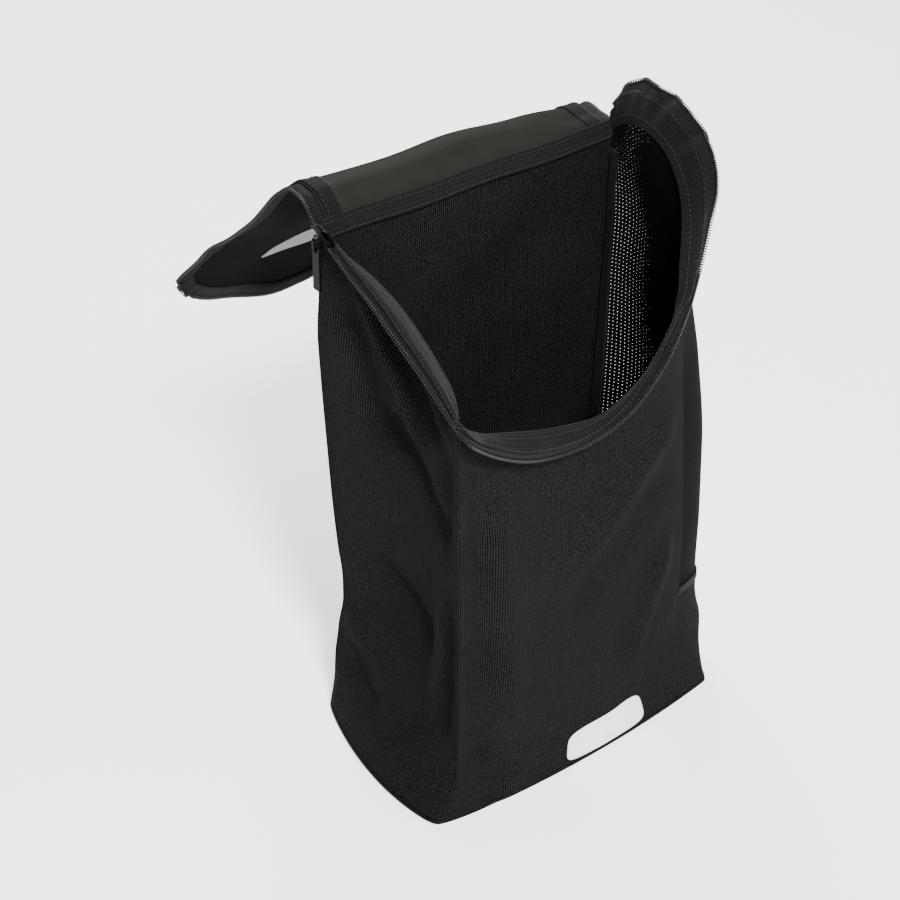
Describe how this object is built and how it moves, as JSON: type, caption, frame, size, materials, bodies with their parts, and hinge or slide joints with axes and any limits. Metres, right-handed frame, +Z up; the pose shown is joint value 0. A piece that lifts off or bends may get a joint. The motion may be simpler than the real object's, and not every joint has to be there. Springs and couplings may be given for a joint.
{
  "type": "shoe bag",
  "caption": "Tall soft cloth bag for shoes with one mesh wall and a zip-round lid hinged at the back, thrown open.",
  "frame": {"origin": "middle of the base's underside", "axes": "+Z up, -Y to the front wall, +X to the mesh wall, +Y to the hinged back wall"},
  "size_m": [0.2407, 0.2638, 0.3751],
  "materials": {
    "coarse_weave": "coarse plain-weave polyester, matt black",
    "open_mesh": "open warp-knit mesh, matt black",
    "lid_cloth": "fine black twill with a smooth olive-grey coating on the inside",
    "zip_tape": "black woven zip tape",
    "zip_coil": "black nylon coil",
    "ribbed_webbing": "black ribbed binding tape and webbing",
    "slider_metal": "gloss black lacquer on die-cast metal",
    "print_film": "pale heat-pressed film"
  },
  "bodies": {
    "bag": {"back_panel": "coarse_weave", "base_panel": "coarse_weave", "base_seam_binding": "ribbed_webbing", "body_zip_coil": "zip_coil", "body_zip_tape": "zip_tape", "front_mark": "print_film", "front_panel": "coarse_weave", "haul_loop": "ribbed_webbing", "hinge_binding": "ribbed_webbing", "left_side_panel": "coarse_weave", "right_foot_panel": "coarse_weave", "right_mesh_panel": "open_mesh", "rim_binding": "ribbed_webbing", "seam_binding_back_left": "ribbed_webbing", "seam_binding_back_right": "ribbed_webbing", "seam_binding_front_left": "ribbed_webbing", "seam_binding_front_right": "ribbed_webbing"},
    "lid_rear": {"lid_rear_bindings": "ribbed_webbing", "lid_rear_panel": "lid_cloth", "lid_rear_zip_coils": "zip_coil", "lid_rear_zip_tapes": "zip_tape"},
    "lid_mid": {"lid_mid_bindings": "ribbed_webbing", "lid_mid_panel": "lid_cloth", "lid_mid_zip_coils": "zip_coil", "lid_mid_zip_tapes": "zip_tape", "lid_mark": "print_film"},
    "lid_lip": {"lid_lip_binding": "ribbed_webbing", "lid_lip_panel": "lid_cloth", "lid_lip_zip_coil": "zip_coil", "lid_lip_zip_tape": "zip_tape"},
    "slider": {"slider_body": "slider_metal", "slider_bridge": "slider_metal"},
    "puller": {"pull_tab": "slider_metal"}
  },
  "joints": [
    {"name": "lid_hinge", "type": "hinge", "parent": "bag", "child": "lid_rear", "pos_m": [0, 0.0625, 0.358], "axis": [1, 0, 0], "range_deg": [0, 180]},
    {"name": "lid_fold", "type": "hinge", "parent": "lid_rear", "child": "lid_mid", "pos_m": [0, 0.093, 0.358], "axis": [1, 0, 0], "range_deg": [0, 83]},
    {"name": "lip_fold", "type": "hinge", "parent": "lid_mid", "child": "lid_lip", "pos_m": [0, 0.1741, 0.26354], "axis": [1, 0, 0], "range_deg": [0, 66]},
    {"name": "zip_travel", "type": "slide", "parent": "bag", "child": "slider", "axis": [0.0637, -0.8737, -0.4823], "range_m": [0, 0.113]},
    {"name": "puller_swing", "type": "hinge", "parent": "slider", "child": "puller", "pos_m": [-0.11312, 0.05074, 0.35155], "axis": [-0.0558, 0.9984, 0], "range_deg": [0, 90]}
  ]
}
